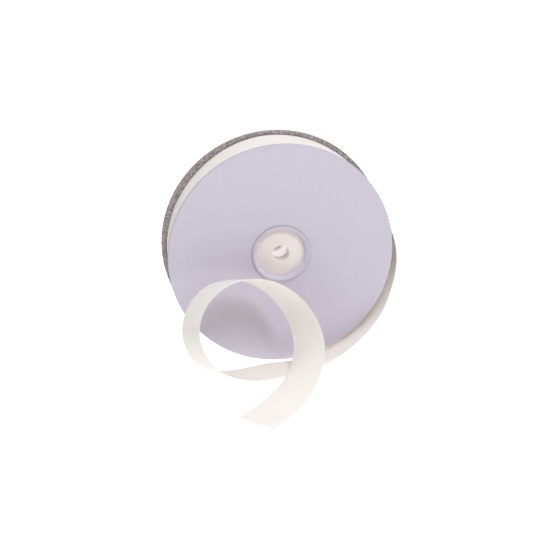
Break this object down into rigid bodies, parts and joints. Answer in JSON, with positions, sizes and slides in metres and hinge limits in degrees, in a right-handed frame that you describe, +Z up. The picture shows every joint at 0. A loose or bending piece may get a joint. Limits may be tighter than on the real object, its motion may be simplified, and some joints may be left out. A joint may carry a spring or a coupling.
{
  "type": "roll of grosgrain ribbon on a card reel",
  "caption": "Cream grosgrain ribbon wound between round card discs with a plastic hub; it stands on its rim with its loose end falling to the right and curling in front.",
  "frame": {"origin": "on the surface that the reel stands on, under its axle line, midway through the thickness of the front disc", "axes": "+X to the right seen from the front, +Y from the front disc to the back disc along the axle line, +Z up"},
  "size_m": [0.1205, 0.1169, 0.1169],
  "materials": {
    "white_card": "satin",
    "grey_chipboard": "matte",
    "wound_ribbon": "matte",
    "cream_ribbon": "matte",
    "milky_plastic": "satin"
  },
  "bodies": {
    "root": {"front_disc": "white_card", "back_disc": "grey_chipboard", "ribbon_roll": "wound_ribbon", "hub_front": "milky_plastic", "hub_back": "milky_plastic", "loose_end": "cream_ribbon"}
  },
  "joints": []
}
